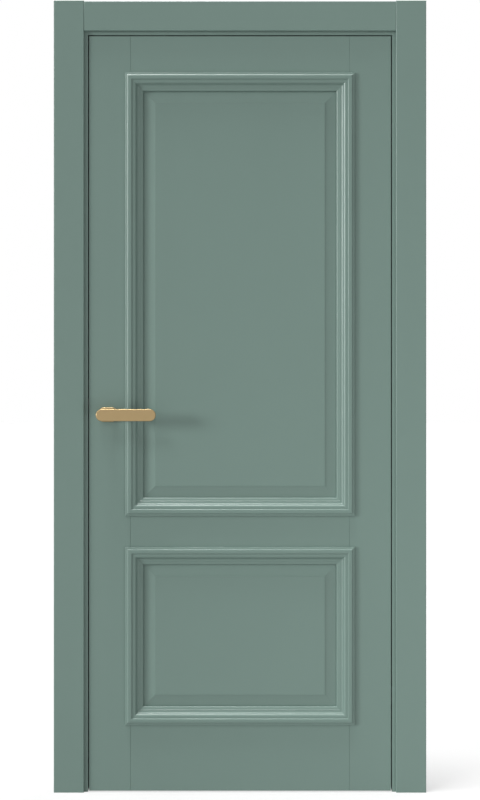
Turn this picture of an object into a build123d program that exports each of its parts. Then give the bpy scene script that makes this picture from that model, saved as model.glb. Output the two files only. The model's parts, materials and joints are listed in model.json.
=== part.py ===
"""Interior door: a framed leaf with two raised and fielded panels, bolection mouldings on
both faces, concealed hinges, a magnetic passage latch with pill shaped levers, mitred jambs
with planted stops and seals, and casings on both sides of the wall.

Millimetres. X runs to the viewer's right, +Y into the wall and +Z up. The origin is on the
floor, midway across the frame. The leaf is closed, its mid-plane near y = 0, and it opens
towards the viewer about an upright line in front of its right-hand edge.
"""
from build123d import *
import os
from math import cos, radians

os.makedirs("parts", exist_ok=True)

# Leaf
leaf_width = 800.0
leaf_height = 2000.0
leaf_thick = 40.0
edge_gap = 3.0
floor_gap = 3.0

# Stiles, rails and their joints
stile_width = 110.0
top_rail_height = 111.0
lock_rail_height = 110.0
bottom_rail_height = 188.5
lower_opening_height = 444.0
groove_depth = 12.0
groove_slack = 0.1
tenon_end_slack = 0.5
stile_arris = 0.8
dowel_radius = 6.0
dowel_length = 100.0
dowel_spacing = 50.0
dowel_slack = 0.05
dowel_end_slack = 1.0

# Raised and fielded panels
panel_tongue_thick = 16.0
panel_tongue_reach = 10.0
panel_field_depth = 6.0
panel_bevel_width = 30.5
panel_bevel_hollow = 0.7
panel_shoulder = 1.0
panel_cutter_overrun = 1.0

# Bolection moulding section, measured outwards from the sight edge and up from the stile face
moulding_width = 48.0
sight_inset = 34.0
moulding_edge_slack = 0.2
crown_rise = 10.2
crown_camber = 0.4
crown_inner = 31.4
crown_outer = 40.4
crown_foot = 29.8
crown_round = 1.6
ledge_rise = 6.4
ledge_width = 4.6
ledge_fall = 0.4
ledge_round = 1.5
flat_rise = 7.4
flat_inner = 25.0
hollow_drop = 2.6
hollow_inner = 11.0
quirk_width = 1.8
quirk_drop = 0.7
lip_slope_drop = 1.6
lip_round = 2.4

# Jambs, stops, seals and casings
jamb_thick = 35.0
jamb_depth = 75.0
stop_reach = 15.0
seal_gap = 4.0
seal_touch_slack = 0.3
seal_bulb_width = 8.0
seal_groove_inset = 8.0
seal_groove_width = 3.0
seal_groove_depth = 6.0
seal_stem_slack = 0.2
seal_crown_wall = 1.0
seal_side_wall = 1.5
seal_foot_wall = 0.5
reveal = 10.0
casing_width = 80.0
head_casing_height = 78.0
casing_thick = 10.0
casing_arris = 2.0
side_casing_overrun = 2.0
tongue_inset = 14.0
tongue_thick = 5.0
tongue_length = 8.0
tongue_slack = 0.2
relief_margin = 5.0
relief_land = 15.0
relief_depth = 1.0

# Countersunk screws
plate_screw_head_radius = 4.0
plate_screw_radius = 2.0
plate_screw_length = 30.0
corner_screw_head_radius = 4.6
corner_screw_radius = 2.5
corner_screw_length = 60.0
corner_screw_inset = 14.0
corner_screw_depths = (25.0, 58.0)
screw_slack = 0.05
screw_end_slack = 0.5
drive_slot_width = 0.9
drive_slot_share = 1.2
drive_slot_depth = 1.2
countersink_angle = 90.0

# Lever set
lever_height = 1000.0
backset = 50.0
lever_length = 157.0
lever_heel = 28.0
lever_width = 32.0
lever_thick = 10.0
lever_standoff = 60.0
lever_edge_round = 2.4
neck_radius = 10.0
neck_fillet = 3.0
neck_end_gap = 0.5
edge_match = 0.01
rosette_width = 46.0
rosette_height = 38.0
rosette_corner = 11.0
rosette_thick = 10.0
rosette_edge_round = 2.0
turning_slack = 0.05
spindle_side = 8.0
spindle_slack = 0.1
socket_end_slack = 1.0
spindle_end_cover = 12.0
stile_bore_radius = 10.5
rosette_bolt_radius = 2.0
rosette_bolt_head_radius = 4.0
rosette_bolt_offset = 16.0
rosette_bolt_bite = 6.0
stile_bolt_hole_radius = 3.0

# Latch
faceplate_overhang = 15.0
faceplate_width = 20.0
faceplate_thick = 3.0
faceplate_screw_inset = 9.0
case_height = 140.0
case_depth = 72.0
case_thick = 16.0
case_wall = 1.5
case_rise = 10.0
case_fit = 0.1
case_mouth_depth = 3.0
case_bolt_slack = 0.5
latch_above_spindle = 30.0
latch_head_width = 11.4
latch_head_height = 19.0
latch_head_length = 16.0
latch_head_round = 1.0
latch_slack = 0.3
latch_throw = 11.0
latch_tail_side = 6.0
latch_tail_rise = 2.0
latch_tab_drop = 7.0
latch_tab_thick = 4.0
follower_hub_radius = 9.0
follower_flange_radius = 11.5
follower_arm_reach = 22.0
follower_arm_width = 6.0
follower_arm_thick = 8.0
strike_length = 130.0
strike_width = 24.0
strike_thick = 2.5
strike_screw_inset = 11.0
keep_slack = 1.5
keep_depth = 18.0

# Concealed hinges
hinge_centre_inset = 250.0
swing_axis_offset = 6.0
hinge_flange_length = 116.0
hinge_flange_width = 32.0
hinge_flange_thick = 3.0
hinge_screw_inset = 9.0
hinge_body_length = 76.0
hinge_body_width = 30.0
hinge_body_depth = 20.0
hinge_pocket_width = 26.4
hinge_pocket_depth = 14.5
hinge_fit = 0.1
pivot_inset = 7.0
pivot_reach = 17.2
arm_plate_thick = 14.0
arm_plate_gap = 0.4
arm_width = 6.0
arm_boss_radius = 4.0
arm_bulge = 7.0
pin_radius = 2.5
pin_embed = 8.0
pin_press_slack = 0.02
centre_pin_radius = 2.2
centre_pin_clearance = 0.35

# Places worked out from the sizes above
leaf_front = -leaf_thick / 2
leaf_back = leaf_thick / 2
half_leaf = leaf_width / 2
leaf_bottom = floor_gap
leaf_top = leaf_bottom + leaf_height
half_opening = half_leaf + edge_gap
opening_top = leaf_top + edge_gap
stop_face = leaf_back + seal_gap
frame_rear = leaf_front + jamb_depth

panel_half_width = half_leaf - stile_width
lower_sill = leaf_bottom + bottom_rail_height
lower_head = lower_sill + lower_opening_height
upper_sill = lower_head + lock_rail_height
upper_head = leaf_top - top_rail_height
panel_margin_depth = (leaf_thick - panel_tongue_thick) / 2

faceplate_length = case_height + 2 * faceplate_overhang
spindle_x = -half_leaf + backset
latch_z = lever_height + latch_above_spindle
case_z = lever_height + case_rise
gap_middle = (half_leaf + half_opening) / 2
swing_y = leaf_front - swing_axis_offset
hinge_heights = (leaf_top - hinge_centre_inset, leaf_bottom + hinge_centre_inset)


def save(part, name):
    """Label a finished piece and write it under its own name."""
    part.label = name
    export_step(part, f"parts/{name}.step")


def side_plane(side):
    """Section plane of an upright member: local x away from the doorway, local y into the wall."""
    return Plane(origin=(side * half_opening, 0, 0), x_dir=(side, 0, 0), z_dir=(0, 0, side))


def head_plane():
    """Section plane of a head member, at mid-width of the doorway."""
    return Plane(origin=(0, 0, opening_top), x_dir=(0, 0, 1), z_dir=(-1, 0, 0))


def corner_mitre(side):
    """Mitre plane of a top corner of the frame; its normal points to the head member."""
    return Plane(origin=(side * half_opening, 0, opening_top), z_dir=(-side, 0, 1))


def countersunk_screw(head_radius, shank_radius, length):
    """A screw with its head's face at the origin, driven along -Z."""
    head_depth = head_radius - shank_radius
    tip_length = 2 * shank_radius
    slot_length = 2 * shank_radius * drive_slot_share
    with BuildPart() as screw:
        with BuildSketch(Plane.XZ):
            with BuildLine():
                Polyline(
                    (0, 0),
                    (head_radius, 0),
                    (shank_radius, -head_depth),
                    (shank_radius, -(length - tip_length)),
                    (0, -length),
                    close=True,
                )
            make_face()
        revolve(axis=Axis.Z)
        with BuildSketch(Plane.XY):
            Rectangle(slot_length, drive_slot_width)
            Rectangle(drive_slot_width, slot_length)
        extrude(amount=-drive_slot_depth, mode=Mode.SUBTRACT)
    return screw.part


plate_screw = countersunk_screw(plate_screw_head_radius, plate_screw_radius, plate_screw_length)
corner_screw = countersunk_screw(corner_screw_head_radius, corner_screw_radius, corner_screw_length)
rosette_bolt_length = leaf_thick + rosette_thick + rosette_bolt_bite
rosette_bolt = countersunk_screw(rosette_bolt_head_radius, rosette_bolt_radius, rosette_bolt_length)

# Places of the screw heads, as planes that face out of the work
corner_screw_planes = {
    side: [
        Plane(
            origin=(side * (half_opening + jamb_thick), leaf_front + depth, opening_top + corner_screw_inset),
            z_dir=(side, 0, 0),
        )
        for depth in corner_screw_depths
    ]
    for side in (-1, 1)
}
strike_screw_offset = strike_length / 2 - strike_screw_inset
strike_screw_planes = [
    Plane(origin=(-half_opening, 0, latch_z + offset), z_dir=(1, 0, 0))
    for offset in (-strike_screw_offset, strike_screw_offset)
]
hinge_screw_offset = hinge_flange_length / 2 - hinge_screw_inset
hinge_screw_planes = {
    face_x: [
        Plane(origin=(face_x, 0, centre + offset), z_dir=(normal, 0, 0))
        for centre in hinge_heights
        for offset in (-hinge_screw_offset, hinge_screw_offset)
    ]
    for face_x, normal in ((half_opening, -1), (half_leaf, 1))
}
faceplate_screw_offset = faceplate_length / 2 - faceplate_screw_inset
faceplate_screw_planes = [
    Plane(origin=(-half_leaf, 0, case_z + offset), z_dir=(-1, 0, 0))
    for offset in (-faceplate_screw_offset, faceplate_screw_offset)
]


def screw_group(screw, planes):
    """The same screw at each of the planes, as separate solids of one piece."""
    with BuildPart() as group:
        for plane in planes:
            with Locations(plane.location):
                add(screw)
    return group.part


def recess_plane(face_x, normal, height):
    """Plane on an upright edge, local x up and local z out of the edge."""
    return Plane(origin=(face_x, 0, height), x_dir=(0, 0, 1), z_dir=(normal, 0, 0))


def jamb_blank(plane, length, both=False):
    """The flat jamb section with a groove for each casing's tongue, as a straight length."""
    tongue_groove = tongue_thick + 2 * tongue_slack
    groove_cut = tongue_length + tongue_slack
    front_groove = reveal + tongue_inset + tongue_thick / 2
    rear_groove = front_groove - stop_reach
    with BuildPart() as blank:
        with BuildSketch(plane):
            with Locations((jamb_thick / 2, leaf_front + jamb_depth / 2)):
                Rectangle(jamb_thick, jamb_depth)
            with Locations((front_groove, leaf_front + groove_cut / 2)):
                Rectangle(tongue_groove, groove_cut, mode=Mode.SUBTRACT)
            with Locations((rear_groove, frame_rear - groove_cut / 2)):
                Rectangle(tongue_groove, groove_cut, mode=Mode.SUBTRACT)
        extrude(amount=length, both=both)
    return blank.part


# Side jambs, mitred to the head and bored for the corner screws, strike or hinges
jamb_run = opening_top + jamb_thick
for side, jamb_name in ((-1, "left_jamb"), (1, "right_jamb")):
    with BuildPart() as side_jamb:
        add(jamb_blank(side_plane(side), side * jamb_run))
        split(bisect_by=corner_mitre(side), keep=Keep.BOTTOM)
        for plane in corner_screw_planes[side]:
            with Locations(plane.location):
                CounterSinkHole(
                    radius=corner_screw_radius + screw_slack,
                    counter_sink_radius=corner_screw_head_radius + screw_slack,
                    depth=corner_screw_length + screw_end_slack,
                    counter_sink_angle=countersink_angle,
                )
        if side < 0:
            with BuildSketch(recess_plane(-half_opening, 1, latch_z)):
                SlotOverall(strike_length + 2 * case_fit, strike_width + 2 * case_fit)
            extrude(amount=-strike_thick, mode=Mode.SUBTRACT)
            with BuildSketch(recess_plane(-half_opening, 1, latch_z)):
                Rectangle(latch_head_height + 2 * keep_slack, latch_head_width + 2 * keep_slack)
            extrude(amount=-keep_depth, mode=Mode.SUBTRACT)
            screw_planes = strike_screw_planes
        else:
            for centre in hinge_heights:
                with BuildSketch(recess_plane(half_opening, -1, centre)):
                    SlotOverall(hinge_flange_length + 2 * hinge_fit, hinge_flange_width + 2 * hinge_fit)
                extrude(amount=-hinge_flange_thick, mode=Mode.SUBTRACT)
                with BuildSketch(recess_plane(half_opening, -1, centre)):
                    SlotOverall(hinge_body_length + 2 * hinge_fit, hinge_body_width + 2 * hinge_fit)
                extrude(amount=-(hinge_body_depth + hinge_fit), mode=Mode.SUBTRACT)
            screw_planes = hinge_screw_planes[half_opening]
        for plane in screw_planes:
            with Locations(plane.location):
                Hole(plate_screw_radius + screw_slack, plate_screw_length + screw_end_slack)
    save(side_jamb.part, jamb_name)

with BuildPart() as head_jamb:
    add(jamb_blank(head_plane(), half_opening + jamb_thick, both=True))
    for side in (-1, 1):
        split(bisect_by=corner_mitre(side), keep=Keep.TOP)
    for planes in corner_screw_planes.values():
        for plane in planes:
            with Locations(plane.location):
                Hole(corner_screw_radius + screw_slack, corner_screw_length + screw_end_slack)
save(head_jamb.part, "head_jamb")

save(screw_group(corner_screw, corner_screw_planes[-1] + corner_screw_planes[1]), "corner_screws")
save(
    screw_group(plate_screw, strike_screw_planes + hinge_screw_planes[half_opening]),
    "frame_plate_screws",
)


def mitred_lengths(section, stock):
    """The left, right and head lengths of a section that is mitred round the doorway."""
    for side, side_name in ((-1, "left"), (1, "right")):
        with BuildPart() as side_length:
            add(section(side_plane(side), side * opening_top))
            split(bisect_by=corner_mitre(side), keep=Keep.BOTTOM)
        save(side_length.part, f"{side_name}_{stock}")
    with BuildPart() as head_length:
        add(section(head_plane(), half_opening, both=True))
        for side in (-1, 1):
            split(bisect_by=corner_mitre(side), keep=Keep.TOP)
    save(head_length.part, f"head_{stock}")


def stop_length(plane, length, both=False):
    """A stop that is planted on the jamb's face, grooved for its seal."""
    with BuildPart() as stop:
        with BuildSketch(plane):
            with Locations((-stop_reach / 2, (stop_face + frame_rear) / 2)):
                Rectangle(stop_reach, frame_rear - stop_face)
            with Locations((-seal_groove_inset, stop_face + seal_groove_depth / 2)):
                Rectangle(seal_groove_width, seal_groove_depth, mode=Mode.SUBTRACT)
        extrude(amount=length, both=both)
    return stop.part


def seal_length(plane, length, both=False):
    """A hollow bulb seal on a stem that is pushed into the groove of the stop."""
    bulb_left = -seal_groove_inset - seal_bulb_width / 2
    bulb_right = -seal_groove_inset + seal_bulb_width / 2
    crest = leaf_back + seal_touch_slack
    shoulder = stop_face - seal_foot_wall
    bore_low = crest + seal_crown_wall
    bore_high = stop_face - seal_foot_wall
    stem_width = seal_groove_width - 2 * seal_stem_slack
    stem_length = seal_groove_depth - seal_stem_slack
    with BuildPart() as seal:
        with BuildSketch(plane):
            with BuildLine():
                Line((bulb_left, stop_face), (bulb_left, shoulder))
                ThreePointArc((bulb_left, shoulder), (-seal_groove_inset, crest), (bulb_right, shoulder))
                Polyline((bulb_right, shoulder), (bulb_right, stop_face), (bulb_left, stop_face))
            make_face()
            with Locations((-seal_groove_inset, stop_face + stem_length / 2)):
                Rectangle(stem_width, stem_length)
            with Locations((-seal_groove_inset, (bore_low + bore_high) / 2)):
                SlotOverall(
                    seal_bulb_width - 2 * seal_side_wall,
                    bore_high - bore_low,
                    mode=Mode.SUBTRACT,
                )
        extrude(amount=length, both=both)
    return seal.part


mitred_lengths(stop_length, "stop")
mitred_lengths(seal_length, "seal")


def casing_places(face):
    """Inner edge and wall plane of the casings: face -1 is the front of the wall, 1 the rear."""
    if face < 0:
        return reveal, leaf_front
    return reveal - stop_reach, frame_rear


def casing_relief(inner, board_width):
    """Start and end of the hollow run along a casing's back, outwards from the opening's edge: it
    starts past the jamb and leaves a narrow land that bears on the wall."""
    return jamb_thick + relief_margin, inner + board_width - relief_land


def side_casing(side, face):
    """An upright casing board with softened edges, a relieved back and a tongue for the jamb."""
    inner, wall_y = casing_places(face)
    relief_start, relief_end = casing_relief(inner, casing_width)
    relief_middle = side * (half_opening + (relief_start + relief_end) / 2)
    board_top = opening_top + inner + head_casing_height + side_casing_overrun
    board_middle = side * (half_opening + inner + casing_width / 2)
    tongue_middle = side * (half_opening + inner + tongue_inset + tongue_thick / 2)
    with BuildPart() as board:
        with BuildSketch(Plane.XY):
            with Locations((board_middle, wall_y + face * casing_thick / 2)):
                Rectangle(casing_width, casing_thick)
        extrude(amount=board_top)
        show_face = board.faces().sort_by(Axis.Y)[0 if face < 0 else -1]
        fillet(show_face.edges().sort_by(Axis.Z)[1:], casing_arris)
        with BuildSketch(Plane.XY):
            with Locations((relief_middle, wall_y)):
                Rectangle(relief_end - relief_start, 2 * relief_depth)
        extrude(amount=board_top, mode=Mode.SUBTRACT)
        with BuildSketch(Plane.XY):
            with Locations((tongue_middle, wall_y - face * tongue_length / 2)):
                Rectangle(tongue_thick, tongue_length)
        extrude(amount=opening_top)
    return board.part


def head_casing(face):
    """The head board, butted between the two upright casings."""
    inner, wall_y = casing_places(face)
    relief_start, relief_end = casing_relief(inner, head_casing_height)
    relief_middle = opening_top + (relief_start + relief_end) / 2
    half_length = half_opening + inner
    board_middle = opening_top + inner + head_casing_height / 2
    tongue_middle = opening_top + inner + tongue_inset + tongue_thick / 2
    with BuildPart() as board:
        with BuildSketch(Plane.YZ):
            with Locations((wall_y + face * casing_thick / 2, board_middle)):
                Rectangle(casing_thick, head_casing_height)
        extrude(amount=half_length, both=True)
        show_face = board.faces().sort_by(Axis.Y)[0 if face < 0 else -1]
        fillet(show_face.edges(), casing_arris)
        with BuildSketch(Plane.YZ):
            with Locations((wall_y, relief_middle)):
                Rectangle(2 * relief_depth, relief_end - relief_start)
        extrude(amount=half_length, both=True, mode=Mode.SUBTRACT)
        with BuildSketch(Plane.YZ):
            with Locations((wall_y - face * tongue_length / 2, tongue_middle)):
                Rectangle(tongue_length, tongue_thick)
        extrude(amount=half_length, both=True)
    return board.part


for face, face_name in ((-1, "front"), (1, "rear")):
    save(side_casing(-1, face), f"{face_name}_left_casing")
    save(side_casing(1, face), f"{face_name}_right_casing")
    save(head_casing(face), f"{face_name}_head_casing")

# Strike plate, let in flush with the jamb
with BuildPart() as strike_plate:
    with BuildSketch(recess_plane(-half_opening, 1, latch_z)):
        SlotOverall(strike_length, strike_width)
        Rectangle(latch_head_height + 2 * keep_slack, latch_head_width + 2 * keep_slack, mode=Mode.SUBTRACT)
    extrude(amount=-strike_thick)
    for plane in strike_screw_planes:
        with Locations(plane.location):
            CounterSinkHole(
                radius=plate_screw_radius + screw_slack,
                counter_sink_radius=plate_screw_head_radius + screw_slack,
                depth=plate_screw_length,
                counter_sink_angle=countersink_angle,
            )
save(strike_plate.part, "strike_plate")

# Stiles, grooved on their inner edge for the panels and the rails' stub tenons
groove_width = panel_tongue_thick + 2 * groove_slack
rail_places = {
    "top_rail": (upper_head, leaf_top),
    "lock_rail": (lower_head, upper_sill),
    "bottom_rail": (leaf_bottom, lower_sill),
}


def dowel_heights(low, high):
    """Dowels spaced evenly about the middle of a rail, as many as its height allows."""
    count = max(2, int((high - low - 2 * groove_depth) // dowel_spacing))
    middle = (low + high) / 2
    return [middle + (index - (count - 1) / 2) * dowel_spacing for index in range(count)]


dowel_planes = {
    side: [
        Plane(origin=(side * panel_half_width, 0, height), z_dir=(side, 0, 0))
        for low, high in rail_places.values()
        for height in dowel_heights(low, high)
    ]
    for side in (-1, 1)
}
dowel_hole_depth = dowel_length / 2 + dowel_end_slack


def stile_blank(side):
    """A stile with softened inner arrises, its panel groove and its dowel holes."""
    inner_edge = side * panel_half_width
    with BuildPart() as blank:
        with BuildSketch(Plane.XY.offset(leaf_bottom)):
            with Locations((side * (half_leaf - stile_width / 2), 0)):
                Rectangle(stile_width, leaf_thick)
        extrude(amount=leaf_height)
        inner_face = blank.faces().sort_by(Axis.X)[0 if side > 0 else -1]
        chamfer(inner_face.edges().filter_by(Axis.Z), stile_arris)
        with BuildSketch(Plane.XY.offset(leaf_bottom)):
            with Locations((inner_edge + side * groove_depth / 2, 0)):
                Rectangle(groove_depth, groove_width)
        extrude(amount=leaf_height, mode=Mode.SUBTRACT)
        for plane in dowel_planes[side]:
            with Locations(plane.location):
                Cylinder(dowel_radius + dowel_slack, 2 * dowel_hole_depth, mode=Mode.SUBTRACT)
    return blank.part


case_x = -half_leaf + faceplate_thick
lever_plane = Plane(origin=(spindle_x, 0, lever_height), x_dir=(1, 0, 0), z_dir=(0, -1, 0))
bolt_spots = [(-rosette_bolt_offset, 0), (rosette_bolt_offset, 0)]

with BuildPart() as latch_stile:
    add(stile_blank(-1))
    with BuildSketch(recess_plane(-half_leaf, -1, case_z)):
        SlotOverall(faceplate_length + 2 * case_fit, faceplate_width + 2 * case_fit)
    extrude(amount=-faceplate_thick, mode=Mode.SUBTRACT)
    with BuildSketch(recess_plane(-half_leaf, -1, case_z)):
        Rectangle(case_height + 2 * case_fit, case_thick + 2 * case_fit)
    extrude(amount=-(faceplate_thick + case_depth + case_fit), mode=Mode.SUBTRACT)
    with BuildSketch(lever_plane):
        Circle(stile_bore_radius)
        with Locations(*bolt_spots):
            Circle(stile_bolt_hole_radius)
    extrude(amount=leaf_thick, both=True, mode=Mode.SUBTRACT)
    for plane in faceplate_screw_planes:
        with Locations(plane.location):
            Hole(plate_screw_radius + screw_slack, plate_screw_length + screw_end_slack)
save(latch_stile.part, "latch_stile")

with BuildPart() as hinge_stile:
    add(stile_blank(1))
    for centre in hinge_heights:
        with BuildSketch(recess_plane(half_leaf, 1, centre)):
            SlotOverall(hinge_flange_length + 2 * hinge_fit, hinge_flange_width + 2 * hinge_fit)
        extrude(amount=-hinge_flange_thick, mode=Mode.SUBTRACT)
        with BuildSketch(recess_plane(half_leaf, 1, centre)):
            SlotOverall(hinge_body_length + 2 * hinge_fit, hinge_body_width + 2 * hinge_fit)
        extrude(amount=-(hinge_body_depth + hinge_fit), mode=Mode.SUBTRACT)
    for plane in hinge_screw_planes[half_leaf]:
        with Locations(plane.location):
            Hole(plate_screw_radius + screw_slack, plate_screw_length + screw_end_slack)
save(hinge_stile.part, "hinge_stile")

# Rails: stub tenons fill the stiles' grooves, and the panel grooves run out through the tenons
rail_half_length = panel_half_width + groove_depth - tenon_end_slack
for rail_name, (low, high) in rail_places.items():
    with BuildPart() as rail:
        with BuildSketch(Plane.XZ):
            with Locations((0, (low + high) / 2)):
                Rectangle(2 * panel_half_width, high - low)
        extrude(amount=leaf_thick / 2, both=True)
        with BuildSketch(Plane.XZ):
            with Locations((0, (low + high) / 2)):
                Rectangle(2 * rail_half_length, high - low)
        extrude(amount=panel_tongue_thick / 2, both=True)
        with BuildSketch(Plane.XZ):
            if low > leaf_bottom:
                with Locations((0, low + groove_depth / 2)):
                    Rectangle(2 * rail_half_length, groove_depth)
            if high < leaf_top:
                with Locations((0, high - groove_depth / 2)):
                    Rectangle(2 * rail_half_length, groove_depth)
        extrude(amount=groove_width / 2, both=True, mode=Mode.SUBTRACT)
        for side in (-1, 1):
            for height in dowel_heights(low, high):
                hole_plane = Plane(origin=(side * panel_half_width, 0, height), z_dir=(side, 0, 0))
                with Locations(hole_plane.location):
                    Cylinder(dowel_radius + dowel_slack, 2 * dowel_hole_depth, mode=Mode.SUBTRACT)
    save(rail.part, rail_name)

with BuildPart() as rail_dowels:
    for plane in dowel_planes[-1] + dowel_planes[1]:
        with Locations(plane.location):
            Cylinder(dowel_radius, dowel_length)
save(rail_dowels.part, "rail_dowels")

openings = {"upper": (upper_sill, upper_head), "lower": (lower_sill, lower_head)}


def raised_panel(low, high):
    """A solid panel run over a panel raiser on all four sides of both faces, as a shaper cuts it."""
    half_width = panel_half_width + panel_tongue_reach
    half_height = (high - low) / 2 + panel_tongue_reach
    middle = (low + high) / 2
    field_half_thick = leaf_thick / 2 - panel_field_depth
    margin_half_thick = panel_tongue_thick / 2
    sight = panel_tongue_reach + sight_inset
    field_edge = sight + panel_bevel_width
    bevel_top = field_half_thick - panel_shoulder
    bevel_middle = (margin_half_thick + bevel_top) / 2 - panel_bevel_hollow
    clear = field_half_thick + panel_cutter_overrun
    start = -panel_cutter_overrun
    with BuildPart() as panel:
        with BuildSketch(Plane.XZ):
            with Locations((0, middle)):
                Rectangle(2 * half_width, 2 * half_height)
        extrude(amount=field_half_thick, both=True)
        for direction, reach, run in (
            ((1, 0, 0), half_width, half_height),
            ((-1, 0, 0), half_width, half_height),
            ((0, 0, 1), half_height, half_width),
            ((0, 0, -1), half_height, half_width),
        ):
            for face in (-1, 1):
                outward = Vector(*direction)
                cutter_plane = Plane(
                    origin=Vector(0, 0, middle) + outward * reach,
                    x_dir=outward * -1,
                    z_dir=(outward * -1).cross(Vector(0, face, 0)),
                )
                with BuildSketch(cutter_plane):
                    with BuildLine():
                        Polyline((start, clear), (start, margin_half_thick), (sight, margin_half_thick))
                        ThreePointArc(
                            (sight, margin_half_thick),
                            ((sight + field_edge) / 2, bevel_middle),
                            (field_edge, bevel_top),
                        )
                        Polyline((field_edge, bevel_top), (field_edge, clear), (start, clear))
                    make_face()
                extrude(amount=run + panel_cutter_overrun, both=True, mode=Mode.SUBTRACT)
    return panel.part


for opening_name, (low, high) in openings.items():
    save(raised_panel(low, high), f"{opening_name}_panel")


def moulding_stick(low, high, face, outward):
    """One mitred length of bolection moulding: it laps the frame, and its rebated back bears on
    the frame's face and on the panel's margin. The section runs outwards from the sight edge."""
    half_width = panel_half_width - sight_inset
    half_height = (high - low) / 2 - sight_inset
    middle = Vector(0, 0, (low + high) / 2)
    across = Vector(*outward)
    proud = Vector(0, face, 0)
    along = across.cross(proud)
    reach = half_width if outward[0] else half_height
    half_run = half_height if outward[0] else half_width
    section_plane = Plane(
        origin=middle + across * reach + proud * (leaf_thick / 2),
        x_dir=across,
        z_dir=along,
    )
    back = -panel_margin_depth
    lap_start = sight_inset - moulding_edge_slack
    lip_top = -hollow_drop - quirk_drop - lip_slope_drop
    quirk_outer = hollow_inner - quirk_width
    hollow_middle = ((flat_inner + hollow_inner) / 2, (flat_rise - hollow_drop) / 2)
    crown_middle = ((crown_inner + crown_outer) / 2, crown_rise + crown_camber)
    ledge_inner = moulding_width - ledge_width
    mid_arc = 1 - cos(radians(45))
    with BuildPart() as stick:
        with BuildSketch(section_plane):
            with BuildLine():
                Polyline(
                    (0, lip_top - lip_round),
                    (0, back),
                    (lap_start, back),
                    (lap_start, 0),
                    (moulding_width, 0),
                    (moulding_width, ledge_rise - ledge_round),
                )
                ThreePointArc(
                    (moulding_width, ledge_rise - ledge_round),
                    (moulding_width - ledge_round * mid_arc, ledge_rise - ledge_round * mid_arc),
                    (moulding_width - ledge_round, ledge_rise),
                )
                Polyline(
                    (moulding_width - ledge_round, ledge_rise),
                    (ledge_inner, ledge_rise + ledge_fall),
                    (crown_outer + crown_round, crown_rise - crown_round),
                )
                ThreePointArc(
                    (crown_outer + crown_round, crown_rise - crown_round),
                    (crown_outer + crown_round * (1 - mid_arc), crown_rise - crown_round * mid_arc),
                    (crown_outer, crown_rise),
                )
                ThreePointArc((crown_outer, crown_rise), crown_middle, (crown_inner, crown_rise))
                ThreePointArc(
                    (crown_inner, crown_rise),
                    (crown_inner - crown_round * (1 - mid_arc), crown_rise - crown_round * mid_arc),
                    (crown_inner - crown_round, crown_rise - crown_round),
                )
                Polyline(
                    (crown_inner - crown_round, crown_rise - crown_round),
                    (crown_foot, flat_rise),
                    (flat_inner, flat_rise),
                )
                TangentArc((flat_inner, flat_rise), hollow_middle, tangent=(-1, 0))
                TangentArc((hollow_inner, -hollow_drop), hollow_middle, tangent=(1, 0))
                Polyline(
                    (hollow_inner, -hollow_drop),
                    (quirk_outer, -hollow_drop),
                    (quirk_outer - quirk_drop, -hollow_drop - quirk_drop),
                    (lip_round, lip_top),
                )
                ThreePointArc(
                    (lip_round, lip_top),
                    (lip_round * mid_arc, lip_top - lip_round * mid_arc),
                    (0, lip_top - lip_round),
                )
            make_face()
        extrude(amount=half_run + moulding_width, both=True)
        for end in (-1, 1):
            mitre_corner = middle + across * reach + along * (end * half_run)
            split(bisect_by=Plane(origin=mitre_corner, z_dir=along * end - across), keep=Keep.BOTTOM)
    return stick.part


stick_directions = {"left": (-1, 0, 0), "right": (1, 0, 0), "top": (0, 0, 1), "bottom": (0, 0, -1)}
for face, face_name in ((-1, "front"), (1, "rear")):
    for opening_name, (low, high) in openings.items():
        for edge_name, outward in stick_directions.items():
            save(
                moulding_stick(low, high, face, outward),
                f"{face_name}_{opening_name}_{edge_name}_moulding",
            )

# Latch: faceplate, folded case, follower and bolt
with BuildPart() as latch_faceplate:
    with BuildSketch(recess_plane(-half_leaf, -1, case_z)):
        SlotOverall(faceplate_length, faceplate_width)
        with Locations((latch_above_spindle - case_rise, 0)):
            Rectangle(
                latch_head_height + 2 * latch_slack,
                latch_head_width + 2 * latch_slack,
                mode=Mode.SUBTRACT,
            )
    extrude(amount=-faceplate_thick)
    for plane in faceplate_screw_planes:
        with Locations(plane.location):
            CounterSinkHole(
                radius=plate_screw_radius + screw_slack,
                counter_sink_radius=plate_screw_head_radius + screw_slack,
                depth=plate_screw_length,
                counter_sink_angle=countersink_angle,
            )
save(latch_faceplate.part, "latch_faceplate")

with BuildPart() as latch_case:
    with BuildSketch(Plane.XZ):
        with Locations((case_x + case_depth / 2, case_z)):
            Rectangle(case_depth, case_height)
    extrude(amount=case_thick / 2, both=True)
    with BuildSketch(Plane.XZ):
        with Locations((case_x + case_depth / 2, case_z)):
            Rectangle(case_depth - 2 * case_wall, case_height - 2 * case_wall)
        with Locations((case_x, latch_z)):
            Rectangle(2 * case_mouth_depth, latch_head_height + 2 * latch_slack)
    extrude(amount=case_thick / 2 - case_wall, both=True, mode=Mode.SUBTRACT)
    with BuildSketch(lever_plane):
        Circle(follower_hub_radius + turning_slack)
        with Locations(*bolt_spots):
            Circle(rosette_bolt_radius + case_bolt_slack)
    extrude(amount=case_thick, both=True, mode=Mode.SUBTRACT)
save(latch_case.part, "latch_case")

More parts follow.
